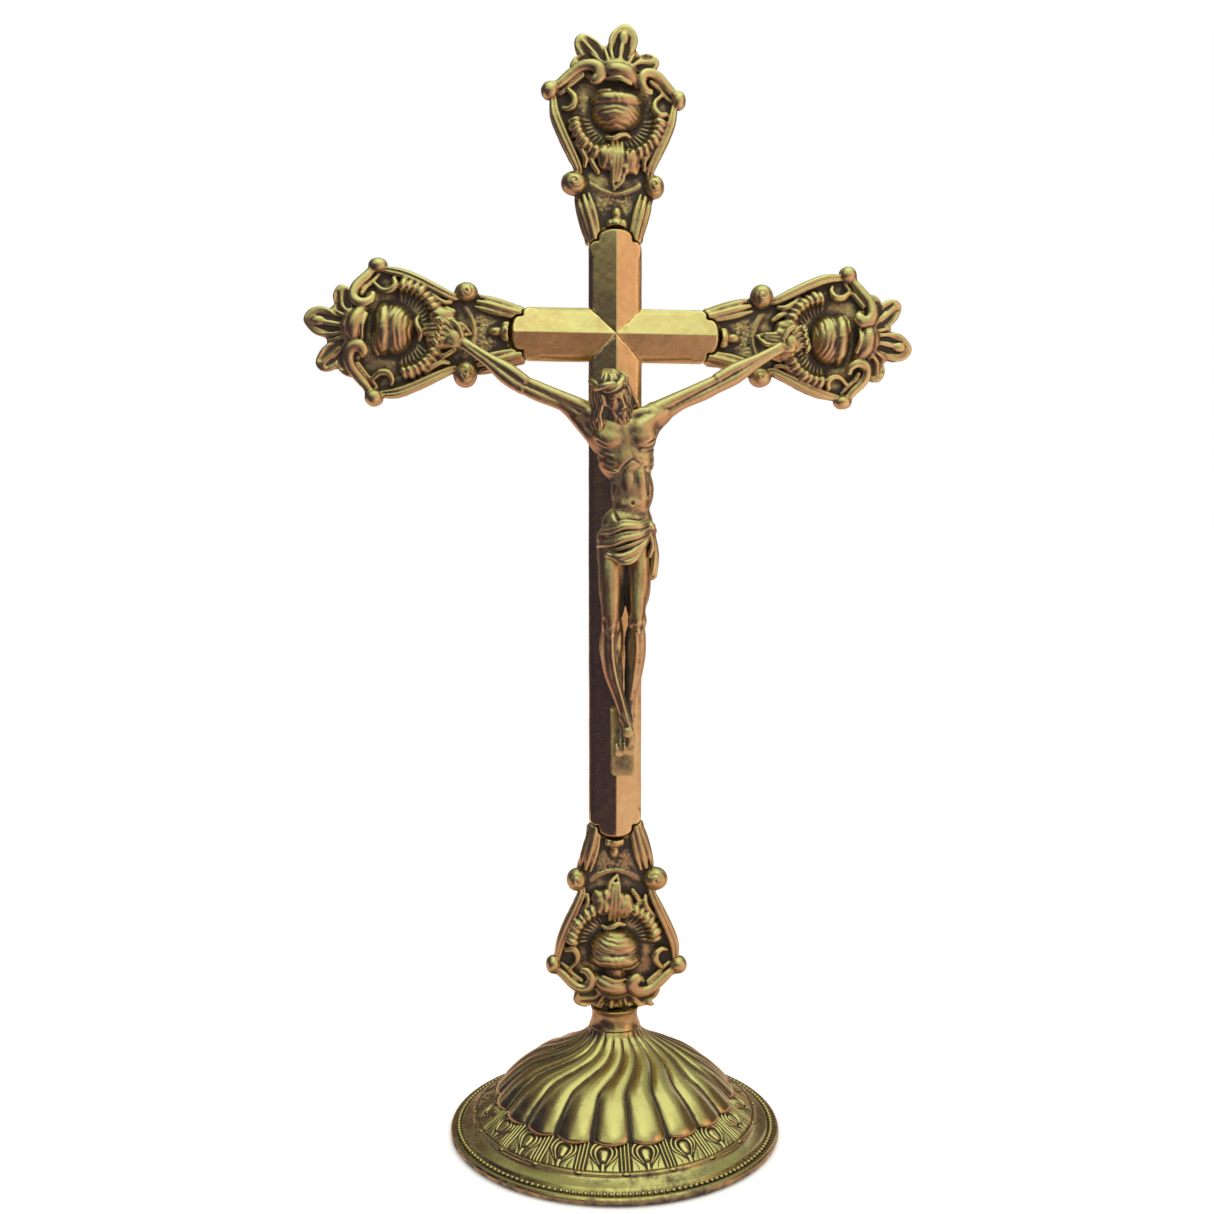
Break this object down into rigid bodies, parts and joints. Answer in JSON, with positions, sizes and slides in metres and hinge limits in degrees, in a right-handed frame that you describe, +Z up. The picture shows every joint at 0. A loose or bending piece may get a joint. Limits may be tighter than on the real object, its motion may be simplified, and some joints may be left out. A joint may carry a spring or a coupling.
{
  "type": "altar cross",
  "caption": "Free-standing brass altar crucifix with a round gadrooned foot, mitred bars, rococo cast arm ends and a cast figure.",
  "frame": {"origin": "middle of the foot's underside, on the table", "axes": "+Z up the cross; the figure faces -Y; +X is to the right as seen from the front"},
  "size_m": [0.231, 0.1264, 0.42],
  "materials": {
    "polished_brass": "polished, with wear",
    "antique_brass": "cast and chased, dark patina in the hollows",
    "aged_steel": "dull, slightly oxidised"
  },
  "bodies": {
    "root": {"base_dome": "polished_brass", "neck_collar": "polished_brass", "upper_bar": "polished_brass", "left_bar": "polished_brass", "right_bar": "polished_brass", "lower_bar": "polished_brass", "crossing_plate": "antique_brass", "corpus": "antique_brass", "arm_left": "antique_brass", "arm_right": "antique_brass", "foot_rest": "antique_brass", "hand_nail_left": "antique_brass", "hand_nail_right": "antique_brass", "foot_nail": "antique_brass", "hand_nut_left": "antique_brass", "hand_nut_right": "antique_brass", "foot_nut": "antique_brass", "top_terminal": "antique_brass", "top_rivet_1": "antique_brass", "top_rivet_2": "antique_brass", "left_terminal": "antique_brass", "left_rivet_1": "antique_brass", "left_rivet_2": "antique_brass", "right_terminal": "antique_brass", "right_rivet_1": "antique_brass", "right_rivet_2": "antique_brass", "bottom_terminal": "antique_brass", "bottom_rivet_1": "antique_brass", "bottom_rivet_2": "antique_brass", "crossing_rivet_1": "antique_brass", "crossing_rivet_2": "antique_brass", "crossing_rivet_3": "antique_brass", "crossing_rivet_4": "antique_brass", "tie_rod": "aged_steel", "base_washer": "aged_steel", "base_nut": "aged_steel"}
  },
  "joints": []
}
